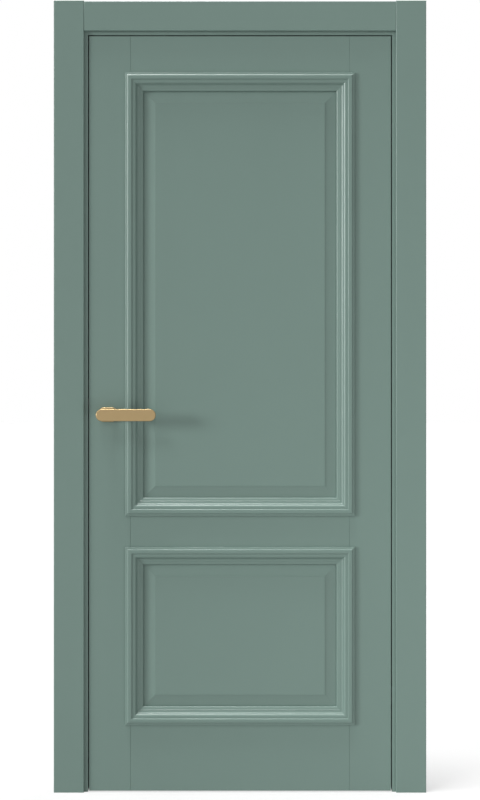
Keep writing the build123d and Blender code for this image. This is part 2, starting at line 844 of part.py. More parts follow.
with BuildPart() as latch_follower:
    with BuildSketch(lever_plane):
        Circle(follower_hub_radius)
    extrude(amount=case_thick / 2, both=True)
    with BuildSketch(lever_plane):
        Circle(follower_flange_radius)
    extrude(amount=case_thick / 2 - case_wall - latch_slack, both=True)
    with BuildSketch(lever_plane):
        with Locations((0, follower_arm_reach / 2)):
            Rectangle(follower_arm_width, follower_arm_reach)
    extrude(amount=follower_arm_thick / 2, both=True)
    with BuildSketch(lever_plane):
        Rectangle(spindle_side + 2 * spindle_slack, spindle_side + 2 * spindle_slack)
    extrude(amount=case_thick, both=True, mode=Mode.SUBTRACT)
save(latch_follower.part, "latch_follower")

latch_head_back = -half_leaf + latch_head_length
tail_top = latch_z + latch_tail_rise
tail_bottom = tail_top - latch_tail_side
tab_front = spindle_x + follower_arm_width / 2 + latch_slack + latch_throw
with BuildPart() as latch_bolt:
    with BuildSketch(Plane.XZ):
        with Locations((-half_leaf + latch_head_length / 2, latch_z)):
            Rectangle(latch_head_length, latch_head_height)
    extrude(amount=latch_head_width / 2, both=True)
    nose = latch_bolt.faces().sort_by(Axis.X)[0]
    fillet(nose.edges(), latch_head_round)
    with BuildSketch(Plane.XZ):
        with BuildLine():
            Polyline(
                (latch_head_back, tail_top),
                (tab_front + latch_tab_thick, tail_top),
                (tab_front + latch_tab_thick, tail_bottom - latch_tab_drop),
                (tab_front, tail_bottom - latch_tab_drop),
                (tab_front, tail_bottom),
                (latch_head_back, tail_bottom),
                close=True,
            )
        make_face()
    extrude(amount=latch_tail_side / 2, both=True)
save(latch_bolt.part, "latch_bolt")

save(
    screw_group(plate_screw, faceplate_screw_planes + hinge_screw_planes[half_leaf]),
    "leaf_plate_screws",
)

# Spindle, levers and rosettes
spindle_half_length = -leaf_front + lever_standoff - spindle_end_cover
with BuildPart() as spindle:
    with BuildSketch(lever_plane):
        Rectangle(spindle_side, spindle_side)
    extrude(amount=spindle_half_length, both=True)
save(spindle.part, "spindle")


def lever(face):
    """A flat pill shaped lever with softened edges on a round neck bored for the spindle."""
    out = Vector(0, face, 0)
    blade_plane = Plane(
        origin=Vector(spindle_x, 0, lever_height) + out * (leaf_thick / 2 + lever_standoff - lever_thick),
        x_dir=(-face, 0, 0),
        z_dir=out,
    )
    blade_middle = -face * (lever_length / 2 - lever_heel)
    neck_length = lever_standoff - lever_thick - neck_end_gap
    socket_depth = spindle_half_length - leaf_thick / 2 - neck_end_gap + socket_end_slack
    with BuildPart() as piece:
        with BuildSketch(blade_plane):
            with Locations((blade_middle, 0)):
                SlotOverall(lever_length, lever_width)
        extrude(amount=lever_thick)
        front_rim = piece.faces().sort_by(Axis.Y)[-1 if face > 0 else 0].edges()
        back_rim = piece.faces().sort_by(Axis.Y)[0 if face > 0 else -1].edges()
        fillet(front_rim + back_rim, lever_edge_round)
        with BuildSketch(blade_plane):
            Circle(neck_radius)
        extrude(amount=-neck_length)
        neck_rings = piece.edges().filter_by(GeomType.CIRCLE).filter_by(
            lambda edge: abs(edge.radius - neck_radius) < edge_match
        )
        fillet(neck_rings.sort_by(Axis.Y)[-1 if face > 0 else 0], neck_fillet)
        with BuildSketch(blade_plane.offset(-neck_length)):
            Rectangle(spindle_side + 2 * spindle_slack, spindle_side + 2 * spindle_slack)
        extrude(amount=socket_depth, mode=Mode.SUBTRACT)
    return piece.part


save(lever(-1), "front_lever")
save(lever(1), "rear_lever")


def rosette(face):
    """A rounded rectangular rose, bored for the lever's neck. The rear one is countersunk for
    the two bolts, and the front one holds their ends in blind holes."""
    out = Vector(0, face, 0)
    back_plane = Plane(
        origin=Vector(spindle_x, 0, lever_height) + out * (leaf_thick / 2),
        x_dir=(-face, 0, 0),
        z_dir=out,
    )
    with BuildPart() as rose:
        with BuildSketch(back_plane):
            RectangleRounded(rosette_width, rosette_height, rosette_corner)
        extrude(amount=rosette_thick)
        fillet(rose.faces().sort_by(Axis.Y)[-1 if face > 0 else 0].edges(), rosette_edge_round)
        with BuildSketch(back_plane):
            Circle(neck_radius + turning_slack)
        extrude(amount=rosette_thick, mode=Mode.SUBTRACT)
        if face > 0:
            with Locations(back_plane.offset(rosette_thick).location):
                with Locations(*bolt_spots):
                    CounterSinkHole(
                        radius=rosette_bolt_radius + screw_slack,
                        counter_sink_radius=rosette_bolt_head_radius + screw_slack,
                        depth=2 * rosette_thick,
                        counter_sink_angle=countersink_angle,
                    )
        else:
            with BuildSketch(back_plane):
                with Locations(*bolt_spots):
                    Circle(rosette_bolt_radius + screw_slack)
            extrude(amount=rosette_bolt_bite + screw_end_slack, mode=Mode.SUBTRACT)
    return rose.part


save(rosette(-1), "front_rosette")
save(rosette(1), "rear_rosette")
rosette_bolt_planes = [
    Plane(
        origin=(spindle_x + offset, leaf_back + rosette_thick, lever_height),
        z_dir=(0, 1, 0),
    )
    for offset in (-rosette_bolt_offset, rosette_bolt_offset)
]
save(screw_group(rosette_bolt, rosette_bolt_planes), "rosette_bolts")

# Concealed hinges. Seen from above, the swing axis, the two housing pivots and the arms' shared
# pin are the corners of a rhombus, so the frame arm turns through the same angle as the leaf
# and the leaf arm keeps its direction in the room.
pivot_offset = pivot_inset + edge_gap / 2
pivot_y = swing_y + pivot_reach
centre_pin_y = swing_y + 2 * pivot_reach
stack_half_height = (3 * arm_plate_thick + 2 * arm_plate_gap) / 2
pocket_half_height = stack_half_height + arm_plate_gap
pin_half_length = pocket_half_height + pin_embed


def hinge_housing(face_x, normal, centre):
    """A housing let into an edge: slotted flange, body, pocket for the arms and pin holes."""
    plane = recess_plane(face_x, normal, centre)
    pivot_x = gap_middle - normal * pivot_offset
    with BuildPart() as housing:
        with BuildSketch(plane):
            SlotOverall(hinge_flange_length, hinge_flange_width)
        extrude(amount=-hinge_flange_thick)
        with BuildSketch(plane):
            SlotOverall(hinge_body_length, hinge_body_width)
        extrude(amount=-hinge_body_depth)
        with BuildSketch(plane):
            Rectangle(2 * pocket_half_height, hinge_pocket_width)
        extrude(amount=-hinge_pocket_depth, mode=Mode.SUBTRACT)
        with BuildSketch(Plane.XY.offset(centre)):
            with Locations((pivot_x, pivot_y)):
                Circle(pin_radius + pin_press_slack)
        extrude(amount=pin_half_length, both=True, mode=Mode.SUBTRACT)
        for screw_plane in hinge_screw_planes[face_x]:
            if abs(screw_plane.origin.Z - centre) < hinge_flange_length / 2:
                with Locations(screw_plane.location):
                    CounterSinkHole(
                        radius=plate_screw_radius + screw_slack,
                        counter_sink_radius=plate_screw_head_radius + screw_slack,
                        depth=plate_screw_length,
                        counter_sink_angle=countersink_angle,
                    )
    return housing.part


def arm_outline(plane, turn):
    """A bowed arm with a boss at each end, from its housing pivot to the shared centre pin."""
    pivot = Vector(turn * pivot_offset, pivot_y)
    centre = Vector(0, centre_pin_y)
    run = (centre - pivot).normalized()
    bow = (pivot + centre) * 0.5 + Vector(turn * run.Y, -turn * run.X) * arm_bulge
    with BuildSketch(plane) as outline:
        with BuildLine(mode=Mode.PRIVATE) as spine:
            ThreePointArc((pivot.X, pivot.Y), (bow.X, bow.Y), (centre.X, centre.Y))
        SlotArc(spine.edges()[0], arm_width)
        with Locations((pivot.X, pivot.Y), (centre.X, centre.Y)):
            Circle(arm_boss_radius)
    return outline.sketch


def arm_plane(height):
    """Level plane with its origin on the middle of the gap between leaf and jamb."""
    return Plane(origin=(gap_middle, 0, height), x_dir=(1, 0, 0), z_dir=(0, 0, 1))


def frame_arm(centre):
    """Two arm plates above and below the leaf arm, joined by the centre pin."""
    with BuildPart() as arm:
        for base in (centre - stack_half_height, centre + stack_half_height - arm_plate_thick):
            extrude(arm_outline(arm_plane(base), 1), amount=arm_plate_thick)
        with BuildSketch(arm_plane(centre)):
            with Locations((0, centre_pin_y)):
                Circle(centre_pin_radius)
        extrude(amount=stack_half_height, both=True)
        with BuildSketch(arm_plane(centre)):
            with Locations((pivot_offset, pivot_y)):
                Circle(pin_radius + turning_slack)
        extrude(amount=stack_half_height, both=True, mode=Mode.SUBTRACT)
    return arm.part


def leaf_arm(centre):
    """The single arm plate between the frame arm's two, bored at both ends."""
    with BuildPart() as arm:
        extrude(arm_outline(arm_plane(centre - arm_plate_thick / 2), -1), amount=arm_plate_thick)
        with BuildSketch(arm_plane(centre)):
            with Locations((-pivot_offset, pivot_y)):
                Circle(pin_radius + turning_slack)
            with Locations((0, centre_pin_y)):
                Circle(centre_pin_radius + centre_pin_clearance)
        extrude(amount=arm_plate_thick, both=True, mode=Mode.SUBTRACT)
    return arm.part


def hinge_pins(side):
    """The pivot pins pressed into the housings of both hinges on one side of the gap."""
    with BuildPart() as pins:
        for centre in hinge_heights:
            with BuildSketch(arm_plane(centre)):
                with Locations((side * pivot_offset, pivot_y)):
                    Circle(pin_radius)
            extrude(amount=pin_half_length, both=True)
    return pins.part


def hinge_pair(piece, *edge):
    """The same piece of the upper and of the lower hinge, as separate solids of one piece."""
    with BuildPart() as pair:
        for centre in hinge_heights:
            add(piece(*edge, centre))
    return pair.part


save(hinge_pair(hinge_housing, half_opening, -1), "hinge_frame_housings")
save(hinge_pair(hinge_housing, half_leaf, 1), "hinge_leaf_housings")
save(hinge_pair(frame_arm), "hinge_frame_arms")
save(hinge_pair(leaf_arm), "hinge_leaf_arms")
save(hinge_pins(1), "hinge_frame_pins")
save(hinge_pins(-1), "hinge_leaf_pins")
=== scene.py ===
"""Finishes, mouldings, light and camera for a panelled interior door in its frame.

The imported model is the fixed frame. X runs to the right, +Y into the wall and Z up, in metres.
Mouldings and panels are run again with full curves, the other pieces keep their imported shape,
and every piece is finished in the material that it is made of.
"""
import json
from math import radians

import bmesh
import bpy
from bpy.props import FloatProperty, FloatVectorProperty, IntProperty, PointerProperty
from mathutils import Matrix, Vector

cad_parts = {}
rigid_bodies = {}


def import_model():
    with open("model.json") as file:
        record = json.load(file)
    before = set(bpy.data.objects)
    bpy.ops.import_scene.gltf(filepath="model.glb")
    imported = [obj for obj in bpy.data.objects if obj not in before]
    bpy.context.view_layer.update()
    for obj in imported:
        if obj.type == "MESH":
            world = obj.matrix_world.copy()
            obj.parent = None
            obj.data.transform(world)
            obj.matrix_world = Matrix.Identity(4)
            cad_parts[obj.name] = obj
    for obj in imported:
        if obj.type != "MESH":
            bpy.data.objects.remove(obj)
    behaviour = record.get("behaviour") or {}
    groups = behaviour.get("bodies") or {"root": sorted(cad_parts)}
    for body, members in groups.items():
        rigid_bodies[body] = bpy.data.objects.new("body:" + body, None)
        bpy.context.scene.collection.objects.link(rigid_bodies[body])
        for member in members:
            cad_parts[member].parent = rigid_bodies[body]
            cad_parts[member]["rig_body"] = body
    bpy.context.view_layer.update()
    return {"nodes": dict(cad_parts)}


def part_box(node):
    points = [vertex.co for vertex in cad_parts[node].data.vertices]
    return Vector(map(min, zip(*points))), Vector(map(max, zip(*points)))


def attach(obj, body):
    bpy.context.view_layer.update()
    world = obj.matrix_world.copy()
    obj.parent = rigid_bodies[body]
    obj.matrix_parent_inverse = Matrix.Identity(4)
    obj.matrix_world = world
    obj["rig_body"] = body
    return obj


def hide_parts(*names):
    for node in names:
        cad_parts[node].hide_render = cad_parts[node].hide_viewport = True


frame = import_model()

bl_info = {
    "name": "Panelled interior door",
    "version": (1, 0, 0),
    "blender": (4, 5, 0),
    "location": "View3D > Sidebar > Door",
    "description": "Runs the mouldings, paints and fits an interior door in its frame",
    "category": "Object",
}

MM = 0.001
WELD = 0.001 * MM
FACES = {"front": -1, "rear": 1}
OPENINGS = ("upper", "lower")
STICK_DIRECTIONS = {"left": (-1, 0, 0), "right": (1, 0, 0), "top": (0, 0, 1), "bottom": (0, 0, -1)}
# Sockets of a mix node: its factor, its two colours and the mixed colour
MIX_FACTOR, MIX_FIRST, MIX_SECOND, MIX_RESULT = 0, 6, 7, 2
# Edges that turn by more than these degrees stay sharp
CREASES = {"moulding": 22, "panel": 3, "casing": 50, "seal": 40, "metal": 30}


def linear(code):
    """An sRGB hex code as linear red, green and blue."""
    parts = [int(code[place:place + 2], 16) / 255 for place in (1, 3, 5)]
    return [part / 12.92 if part <= 0.04045 else ((part + 0.055) / 1.055) ** 2.4 for part in parts]


def length(name, description, millimetres):
    """A length property with its default in millimetres."""
    return FloatProperty(
        name=name, description=description, default=millimetres * MM, unit="LENGTH", precision=5
    )


def colour(name, description, code):
    """A colour property with its default as an sRGB hex code."""
    return FloatVectorProperty(
        name=name, description=description, default=linear(code), subtype="COLOR", min=0, max=1
    )


def distance(name, description, metres):
    """A length property with its default in metres."""
    return FloatProperty(name=name, description=description, default=metres, unit="LENGTH")


def strength(name, description, value):
    """A strength property, which is never negative."""
    return FloatProperty(name=name, description=description, default=value, min=0)


def way(name, description, direction):
    """A direction property, from the door towards a lamp."""
    return FloatVectorProperty(
        name=name, description=description, default=direction, subtype="DIRECTION"
    )


def point(name, description, place):
    """A place property in metres."""
    return FloatVectorProperty(
        name=name, description=description, default=place, subtype="TRANSLATION", unit="LENGTH"
    )


class DoorMouldingSizes(bpy.types.PropertyGroup):
    """The bolection moulding's section, across from its sight edge and up from the leaf's face."""

    lip_height: length("Lip", "Corner of the lip below the leaf's face", 5.5)
    lip_round: length("Lip round", "How far the lip's corner is rounded off", 3.2)
    quirk_inner: length("Quirk inner edge", "Inner edge of the quirk from the sight edge", 8.5)
    quirk_outer: length("Quirk outer edge", "Outer edge of the quirk from the sight edge", 9.2)
    quirk_depth: length("Quirk depth", "Step down from the fillet to the lip's slope", 0.7)
    hollow_depth: length("Hollow depth", "Foot of the ogee below the leaf's face", 2.6)
    hollow_start: length("Ogee foot", "Inner end of the ogee from the sight edge", 11.0)
    flat_start: length("Ogee head", "Outer end of the ogee from the sight edge", 25.0)
    flat_height: length("Flat", "Height of the flat above the leaf's face", 7.4)
    crown_start: length("Crown inner side", "Inner side of the crown from the sight edge", 29.8)
    crown_end: length("Crown outer side", "Outer side of the crown from the sight edge", 42.0)
    crown_height: length("Crown", "Height of the crown's corners above the leaf's face", 10.2)
    crown_camber: length("Crown camber", "Rise of the crown's apex above its corners", 0.62)
    crown_round: length("Crown round", "How far the crown's corners are rounded off", 2.3)
    crown_slope_height: length("Crown foot", "Top of the slope outside the crown", 7.85)
    ledge_width: length("Ledge", "Width of the ledge outside the crown", 4.6)
    ledge_inner_height: length("Ledge inner height", "Inner edge of the ledge", 6.8)
    ledge_outer_height: length("Ledge outer height", "Outer corner of the ledge", 6.2)
    ledge_round: length("Ledge round", "How far the ledge's outer corner is rounded off", 1.45)
    rebate_width: length("Rebate", "Width of the part that stands on the panel", 33.8)
    paint_cove: length("Paint in the corners", "Radius that paint leaves in an inner corner", 0.35)


class DoorPanelSizes(bpy.types.PropertyGroup):
    """The raised panel's section, from its edge inwards."""

    margin_half: length("Margin", "Half of the margin's thickness", 8.0)
    bevel_width: length("Bevel", "Width of the bevel from the sight edge", 30.5)
    bevel_hollow: length("Bevel hollow", "How far the bevel dips below a flat one", 0.7)
    shoulder: length("Shoulder", "Step from the bevel up to the field", 1.0)
    shoulder_slant: length("Shoulder slant", "Width that the shoulder's step takes up", 0.3)
    bevel_steps: IntProperty(
        name="Bevel steps", description="Strips that make the hollow bevel", default=8, min=2
    )


class DoorColours(bpy.types.PropertyGroup):
    """Colours of the finishes."""

    enamel: colour("Enamel", "Grey-green satin enamel", "#6F867E")
    brass: colour("Brass", "Satin brass under matte lacquer", "#A38E69")
    stainless: colour("Stainless steel", "Brushed stainless steel", "#B9B9B6")
    zinc_plating: colour("Zinc plating", "Bright zinc plating", "#B4B7BC")
    zinc_casting: colour("Zinc casting", "Satin plated zinc casting", "#AFB0B1")
    seal: colour("Seal", "Dark thermoplastic seal", "#3B3E3C")
    beech: colour("Beech", "Turned beech", "#C39E74")
    beech_fleck: colour("Beech fleck", "Ray flecks in beech", "#A37B52")


class DoorStudio(bpy.types.PropertyGroup):
    """The studio round the door."""

    top_strength: strength("Top light", "Raking light from overhead", 2.7)
    top_direction: way("Way to the top light", "Nearly overhead", (-0.113, -0.082, 0.990))
    side_strength: strength("Side light", "Level light from the left", 1.9)
    side_direction: way("Way to the side light", "Left and in front", (-0.890, -0.434, 0.139))
    front_strength: strength("Front light", "Light from the upper left, in front", 0.5)
    front_direction: way("Way to the front light", "Up and in front", (-0.406, -0.579, 0.707))
    rear_strength: strength("Rear light", "Light on the far side of the door", 1.1)
    rear_direction: way("Way to the rear light", "Up and behind", (0.5, 0.7, 0.6))
    lamp_spread: FloatProperty(
        name="Lamp spread",
        description="Angle that each far lamp fills",
        default=radians(14),
        subtype="ANGLE",
    )
    fill_strength: strength("Fill light", "Watts of the low panel light on the right", 9)
    fill_place: point("Fill place", "Middle of the panel light", (1.2, -1.9, 0.4))
    fill_aim: point("Fill aim", "Place that the panel light faces", (0, 0, 1))
    fill_size: distance("Fill size", "Side of the square panel light", 0.8)
    ambient: strength("Ambient", "Light from all round", 0.26)
    floor_reach: distance("Floor reach", "Half of the floor's side", 30)
    floor_tone: FloatVectorProperty(
        name="Floor",
        description="Tone that shadows fall on",
        default=(0.3, 0.3, 0.3),
        subtype="COLOR",
    )
    floor_lift: strength("Floor lift", "Glow that brings the lit floor to white", 0.6)
    viewing_distance: distance("Viewing distance", "From the leaf's face", 4.8)
    eye_height: distance("Eye height", "Camera above the floor", 1.132)
    frame_height: distance("Frame height", "What the picture takes in at the leaf's face", 2.121)
    horizon_shift: FloatProperty(
        name="Horizon shift",
        description="Share of the picture that the view is moved by",
        default=-0.044,
    )


def add_node(tree, kind, inputs=None, **settings):
    """Adds a shader node with its settings, and its inputs as values or as links."""
    added = tree.nodes.new(kind)
    for name, value in settings.items():
        setattr(added, name, value)
    for name, value in (inputs or {}).items():
        if isinstance(value, bpy.types.NodeSocket):
            tree.links.new(value, added.inputs[name])
        else:
            added.inputs[name].default_value = value
    return added


def per_metre(millimetres):
    """Scale of a pattern whose features are this far apart."""
    return 1 / (millimetres * MM)


def start_material(name):
    """An empty node material and its tree."""
    material = bpy.data.materials.new(name)
    material.use_nodes = True
    material.node_tree.nodes.clear()
    return material, material.node_tree


def end_material(material, shader):
    """Links the last shader to the material's output."""
    add_node(material.node_tree, "ShaderNodeOutputMaterial", {"Surface": shader.outputs[0]})
    return material


def pattern(tree, spacing, detail=2.0, roughness=0.5):
    """An uneven pattern fixed to the object, from 0 to 1, with its features this many millimetres
    apart along X, Y and Z."""
    place = add_node(tree, "ShaderNodeTexCoord").outputs["Object"]
    scale = [per_metre(value) for value in spacing]
    stretched = add_node(tree, "ShaderNodeMapping", {"Vector": place, "Scale": scale})
    inputs = {
        "Vector": stretched.outputs["Vector"],
        "Scale": 1.0,
        "Detail": detail,
        "Roughness": roughness,
    }
    return add_node(tree, "ShaderNodeTexNoise", inputs).outputs["Fac"]


def shades(base, amount):
    """A base colour this share darker and lighter, as the two colours of a mix node."""
    dark = [channel * (1 - amount) for channel in base]
    light = [min(1, channel * (1 + amount)) for channel in base]
    return {MIX_FIRST: [*dark, 1], MIX_SECOND: [*light, 1]}


def satin_enamel(name, base, grain=None):
    """Satin waterborne enamel, sprayed and sanded between coats. It has a soft wide highlight, a
    faint orange peel and almost no change of tone. On solid timber the grain shows through as
    low ridges; grain is the spacing of those ridges along X, Y and Z, and fibreboard has none."""
    material, tree = start_material(name)
    tones = {MIX_FACTOR: pattern(tree, (260, 260, 260), detail=3), **shades(base, 0.025)}
    sheen = {"Value": pattern(tree, (40, 40, 40)), "To Min": 0.30, "To Max": 0.36}
    # Real orange peel is 1 to 2 mm across. It is drawn 3 mm across, so that a pixel can hold it.
    peel = pattern(tree, (3, 3, 3), detail=1)
    relief = add_node(
        tree, "ShaderNodeBump", {"Height": peel, "Strength": 0.12, "Distance": 0.25 * MM}
    )
    if grain:
        ridges = {
            "Height": pattern(tree, grain, detail=2, roughness=0.6),
            "Strength": 0.10,
            "Distance": 0.3 * MM,
            "Normal": relief.outputs["Normal"],
        }
        relief = add_node(tree, "ShaderNodeBump", ridges)
    inputs = {
        "Base Color": add_node(tree, "ShaderNodeMix", tones, data_type="RGBA").outputs[MIX_RESULT],
        "Roughness": add_node(tree, "ShaderNodeMapRange", sheen).outputs["Result"],
        "IOR": 1.5,
        "Normal": relief.outputs["Normal"],
    }
    return end_material(material, add_node(tree, "ShaderNodeBsdfPrincipled", inputs))


def brushed_metal(name, base, roughness, line, depth):
    """A brushed metal. The belt leaves fine lines one way, so highlights break up across them; line
    is the lines' spacing along X, Y and Z, drawn several times coarser than the real 0.05 mm."""
    material, tree = start_material(name)
    lines = pattern(tree, line, detail=3, roughness=0.6)
    tones = {MIX_FACTOR: pattern(tree, (18, 18, 18), detail=2), **shades(base, 0.03)}
    sheen = {"Value": lines, "To Min": roughness - 0.05, "To Max": roughness + 0.07}
    relief = add_node(
        tree, "ShaderNodeBump", {"Height": lines, "Strength": 0.25, "Distance": depth * MM}
    )
    inputs = {
        "Base Color": add_node(tree, "ShaderNodeMix", tones, data_type="RGBA").outputs[MIX_RESULT],
        "Metallic": 1.0,
        "Roughness": add_node(tree, "ShaderNodeMapRange", sheen).outputs["Result"],
        "Normal": relief.outputs["Normal"],
    }
    return end_material(material, add_node(tree, "ShaderNodeBsdfPrincipled", inputs))


def zinc_plating(name, base):
    """Bright zinc plating on pressed steel. It is smooth and a little blue, with a faint cloudiness
    where the bath has left it uneven."""
    material, tree = start_material(name)
    clouds = pattern(tree, (4, 4, 4), detail=3, roughness=0.6)
    tones = {MIX_FACTOR: clouds, **shades(base, 0.08)}
    sheen = {"Value": clouds, "To Min": 0.24, "To Max": 0.36}
    inputs = {
        "Base Color": add_node(tree, "ShaderNodeMix", tones, data_type="RGBA").outputs[MIX_RESULT],
        "Metallic": 1.0,
        "Roughness": add_node(tree, "ShaderNodeMapRange", sheen).outputs["Result"],
    }
    return end_material(material, add_node(tree, "ShaderNodeBsdfPrincipled", inputs))


def satin_zinc_casting(name, base):
    """Die-cast zinc, tumbled and satin plated. The die's skin leaves a fine even grain that
    scatters the highlight."""
    material, tree = start_material(name)
    skin = pattern(tree, (0.6, 0.6, 0.6), detail=2)
    tones = {MIX_FACTOR: pattern(tree, (9, 9, 9)), **shades(base, 0.05)}
    sheen = {"Value": skin, "To Min": 0.34, "To Max": 0.44}
    relief = add_node(
        tree, "ShaderNodeBump", {"Height": skin, "Strength": 0.3, "Distance": 0.04 * MM}
    )
    inputs = {
        "Base Color": add_node(tree, "ShaderNodeMix", tones, data_type="RGBA").outputs[MIX_RESULT],
        "Metallic": 1.0,
        "Roughness": add_node(tree, "ShaderNodeMapRange", sheen).outputs["Result"],
        "Normal": relief.outputs["Normal"],
    }
    return end_material(material, add_node(tree, "ShaderNodeBsdfPrincipled", inputs))


def extruded_seal(name, base, line):
    """Extruded thermoplastic rubber. The die leaves faint lines along its length, and the skin is
    dull with a soft edge sheen; line is the lines' spacing along X, Y and Z, drawn a few times
    coarser than the real 0.2 mm."""
    material, tree = start_material(name)
    lines = pattern(tree, line, detail=2)
    tones = {MIX_FACTOR: pattern(tree, (30, 30, 30)), **shades(base, 0.10)}
    sheen = {"Value": lines, "To Min": 0.60, "To Max": 0.72}
    relief = add_node(
        tree, "ShaderNodeBump", {"Height": lines, "Strength": 0.2, "Distance": 0.05 * MM}
    )
    inputs = {
        "Base Color": add_node(tree, "ShaderNodeMix", tones, data_type="RGBA").outputs[MIX_RESULT],
        "Roughness": add_node(tree, "ShaderNodeMapRange", sheen).outputs["Result"],
        "IOR": 1.48,
        "Normal": relief.outputs["Normal"],
    }
    return end_material(material, add_node(tree, "ShaderNodeBsdfPrincipled", inputs))


def turned_beech(name, base, fleck):
    """Beech turned along its grain. It is pale and pinkish, with short darker ray flecks that run
    with the dowel."""
    material, tree = start_material(name)
    rays = pattern(tree, (6, 0.7, 0.7), detail=3, roughness=0.65)
    share = add_node(tree, "ShaderNodeMapRange", {"Value": rays, "To Min": -0.4, "To Max": 1.1})
    tones = {MIX_FACTOR: share.outputs["Result"], MIX_FIRST: [*base, 1], MIX_SECOND: [*fleck, 1]}
    inputs = {
        "Base Color": add_node(tree, "ShaderNodeMix", tones, data_type="RGBA").outputs[MIX_RESULT],
        "Roughness": 0.62,
        "IOR": 1.5,
    }
    return end_material(material, add_node(tree, "ShaderNodeBsdfPrincipled", inputs))


def body_of(node_name):
    """The body that a CAD node rides on."""
    return frame["nodes"][node_name]["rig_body"]


def paint(node_name, material):
    """Gives a CAD node its material."""
    mesh = frame["nodes"][node_name].data
    mesh.materials.clear()
    mesh.materials.append(material)


def sharpen(bm, angle):
    """Shades all faces smooth, and keeps the edges that turn by more than the angle sharp."""
    for face in bm.faces:
        face.smooth = True
    for edge in bm.edges:
        edge.smooth = len(edge.link_faces) == 2 and edge.calc_face_angle(0) < radians(angle)


def stand_in(bm, node_name, material, kind):
    """Finishes a mesh as a piece that stands for a CAD node, on that node's body. The kind sets
    which of its edges stay sharp."""
    sharpen(bm, CREASES[kind])
    mesh = bpy.data.meshes.new(f"{node_name}_finished")
    bm.to_mesh(mesh)
    bm.free()
    mesh.materials.append(material)
    piece = bpy.data.objects.new(f"{node_name}_finished", mesh)
    bpy.context.scene.collection.objects.link(piece)
    piece.modifiers.new("Even shading", "WEIGHTED_NORMAL").keep_sharp = True
    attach(piece, body_of(node_name))
    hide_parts(node_name)


def smoothed_copy(node_name, material, kind="metal"):
    """A merged copy of a CAD node with its rounds shaded smooth, in place of the faceted node."""
    bm = bmesh.new()
    bm.from_mesh(frame["nodes"][node_name].data)
    bmesh.ops.remove_doubles(bm, verts=bm.verts[:], dist=WELD)
    stand_in(bm, node_name, material, kind)


def rounded_section(corners):
    """A flat section in the XY plane. Each corner is its place, how far it is rounded off and the
    number of segments in the round."""
    bm = bmesh.new()
    verts = [bm.verts.new((across, up, 0)) for across, up, cut, segments in corners]
    bm.faces.new(verts)
    for vert, (across, up, cut, segments) in zip(verts, corners):
        if cut:
            bmesh.ops.bevel(
                bm,
                geom=[vert],
                offset=cut,
                affect="VERTICES",
                segments=segments,
                profile=0.5,
                material=-1,
            )
    return bm


def moulding_section(sizes, width, rebate):
    """The bolection moulding's section: across from the sight edge, up from the leaf's face."""
    cove = sizes.paint_cove
    run = sizes.flat_start - sizes.hollow_start
    rise = sizes.flat_height + sizes.hollow_depth
    # Each half of the ogee is an arc, and its tangents meet this far from its ends
    tangent = ((run / 2) ** 2 + (rise / 2) ** 2) / run
    quirk_bottom = -sizes.hollow_depth - sizes.quirk_depth
    crown_middle = (sizes.crown_start + sizes.crown_end) / 2
    # The crown's rounds stop short of their neighbours, so that no edge shrinks to nothing
    gap = 0.1 * MM
    outer_share = 0.98
    crown_cut = (sizes.crown_end - sizes.crown_start) / 2 - sizes.crown_round - gap
    return rounded_section(
        [
            (0, -rebate, 0, 0),
            (sizes.rebate_width, -rebate, 0, 0),
            (sizes.rebate_width, 0, 0, 0),
            (width, 0, 0, 0),
            (width, sizes.ledge_outer_height, sizes.ledge_round, 5),
            (width - sizes.ledge_width, sizes.ledge_inner_height, cove, 2),
            (sizes.crown_end, sizes.crown_slope_height, 0, 0),
            (sizes.crown_end, sizes.crown_height, sizes.crown_round * outer_share, 6),
            (crown_middle, sizes.crown_height + sizes.crown_camber, crown_cut, 6),
            (sizes.crown_start, sizes.crown_height, sizes.crown_round, 6),
            (sizes.crown_start, sizes.flat_height, cove, 3),
            (sizes.flat_start - tangent, sizes.flat_height, tangent, 12),
            (sizes.hollow_start + tangent, -sizes.hollow_depth, tangent, 12),
            (sizes.quirk_outer, -sizes.hollow_depth, 0, 0),
            (sizes.quirk_inner, quirk_bottom, 0, 0),
            (0, -sizes.lip_height, sizes.lip_round, 7),
        ]
    )


def cut_end(bm, place, direction):
    """Saws the mesh off at a plane and closes the cut."""
    bmesh.ops.bisect_plane(
        bm,
        geom=bm.verts[:] + bm.edges[:] + bm.faces[:],
        plane_co=place,
        plane_no=direction,
        clear_outer=True,
    )
    bmesh.ops.holes_fill(bm, edges=[edge for edge in bm.edges if edge.is_boundary], sides=0)


def mitred_stick(section, half_run, width):
    """A length of the section along Z, mitred at both ends about the corners of the sight edge."""
    # Long enough for both saw cuts to pass right through
    reach = half_run + 2 * width
    bmesh.ops.translate(section, verts=section.verts[:], vec=(0, 0, -reach))
    pulled = bmesh.ops.extrude_face_region(section, geom=section.faces[:])["geom"]
    new_verts = [part for part in pulled if isinstance(part, bmesh.types.BMVert)]
    bmesh.ops.translate(section, verts=new_verts, vec=(0, 0, 2 * reach))
    for end in (-1, 1):
        cut_end(section, (0, 0, end * half_run), (-1, 0, end))
    bmesh.ops.recalc_face_normals(section, faces=section.faces[:])
    return section


